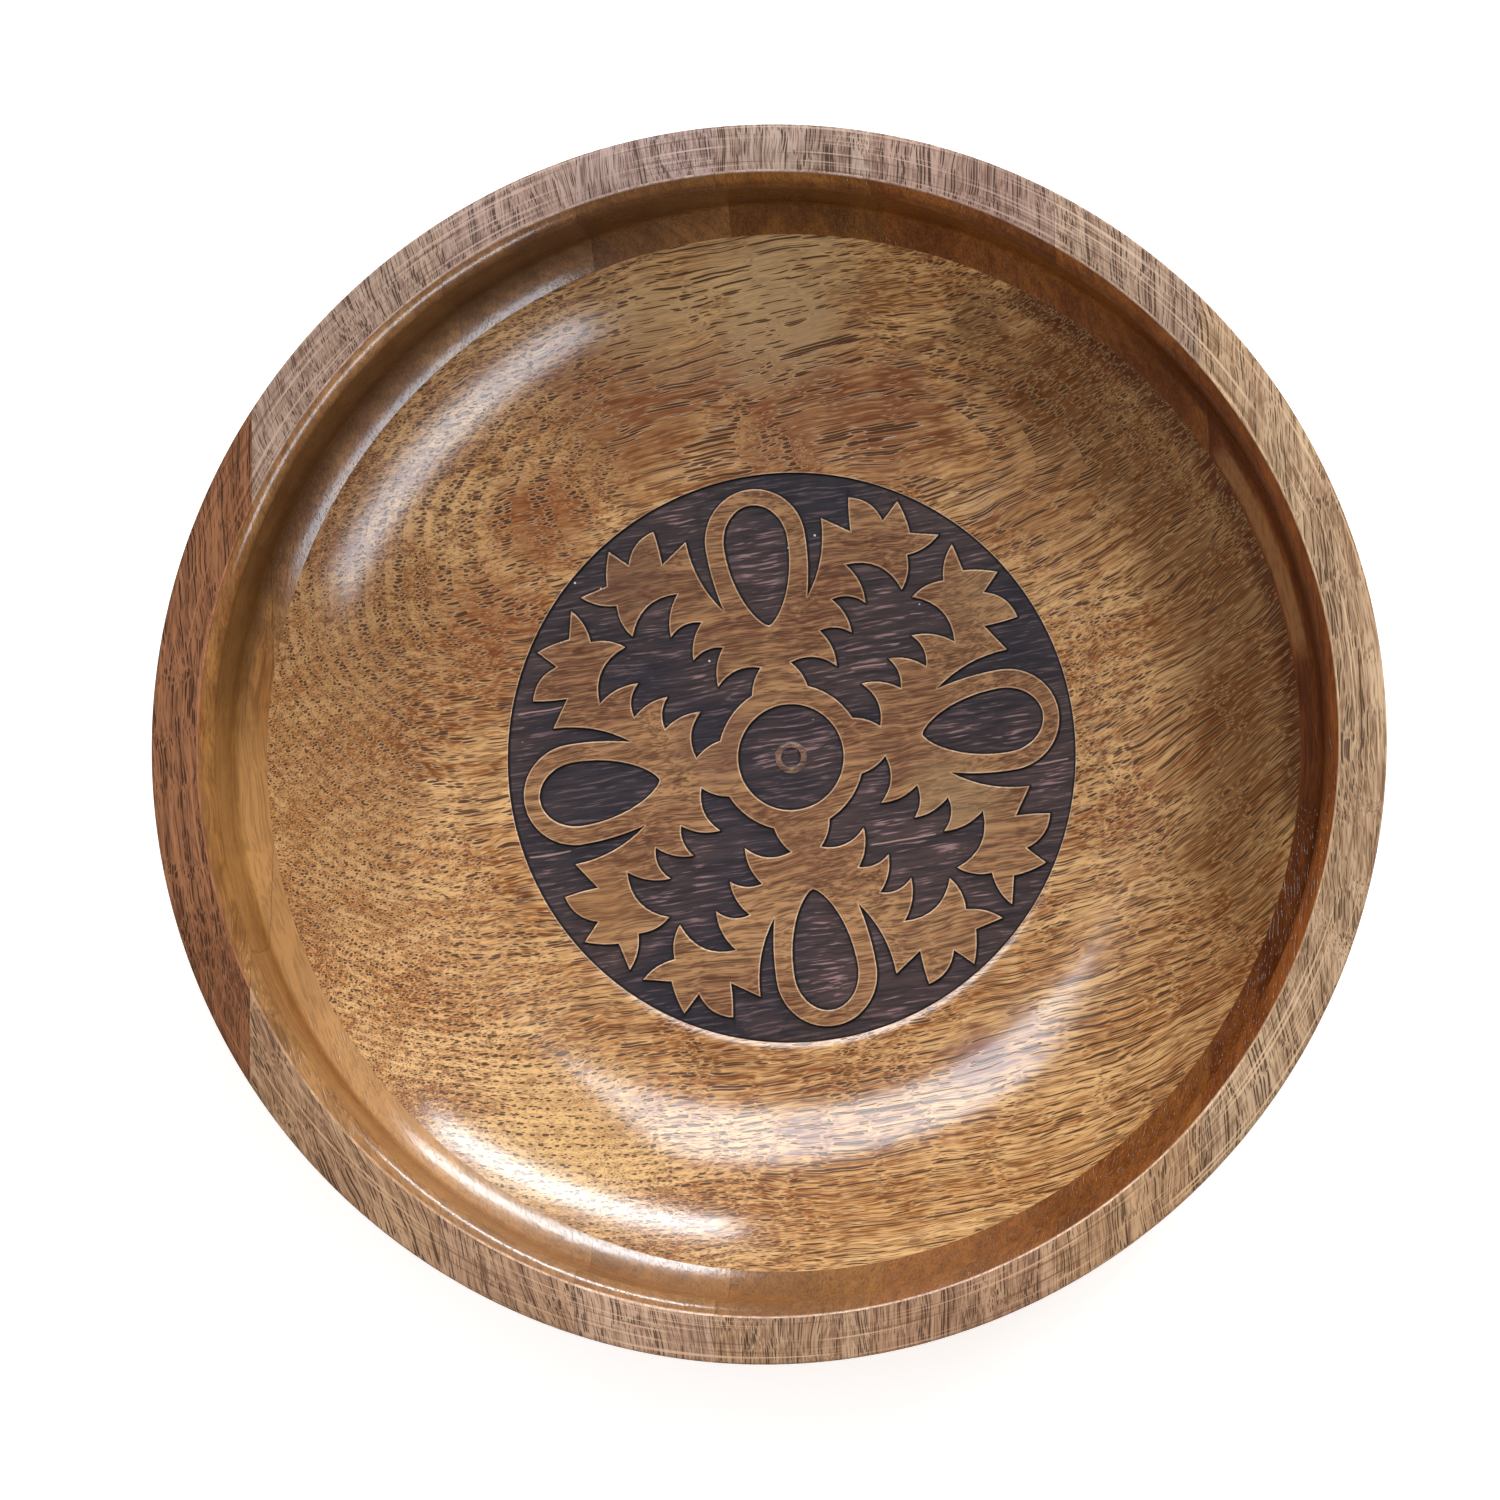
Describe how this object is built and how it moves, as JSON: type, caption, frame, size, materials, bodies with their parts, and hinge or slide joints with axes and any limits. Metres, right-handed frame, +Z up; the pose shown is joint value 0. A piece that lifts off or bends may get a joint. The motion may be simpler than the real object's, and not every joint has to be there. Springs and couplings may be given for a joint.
{
  "type": "carved wooden bowl",
  "caption": "Round turned wooden bowl with a flat rim of glued boards and a sunk leaf medallion carved into its floor.",
  "frame": {"origin": "middle of the flat foot the bowl stands on", "axes": "+Z up through the open mouth, +X along the grain of the dish, +Y along the boards of the rim, away from the viewer"},
  "size_m": [0.2999, 0.3, 0.072],
  "materials": {
    "dish_wood": "clear gloss lacquer inside, deep open grain",
    "left_board_wood": "satin, purple-brown heartwood",
    "board_1_wood": "satin",
    "board_2_wood": "satin",
    "board_3_wood": "satin",
    "board_4_wood": "satin",
    "board_5_wood": "satin",
    "board_6_wood": "satin",
    "right_board_wood": "satin"
  },
  "bodies": {
    "root": {"dish": "dish_wood", "rim_left_block": "left_board_wood", "rim_right_block": "right_board_wood", "rim_back_block_1": "board_1_wood", "rim_back_block_2": "board_2_wood", "rim_back_block_3": "board_3_wood", "rim_back_block_4": "board_4_wood", "rim_back_block_5": "board_5_wood", "rim_back_block_6": "board_6_wood", "rim_front_block_1": "board_1_wood", "rim_front_block_2": "board_2_wood", "rim_front_block_3": "board_3_wood", "rim_front_block_4": "board_4_wood", "rim_front_block_5": "board_5_wood", "rim_front_block_6": "board_6_wood"}
  },
  "joints": []
}
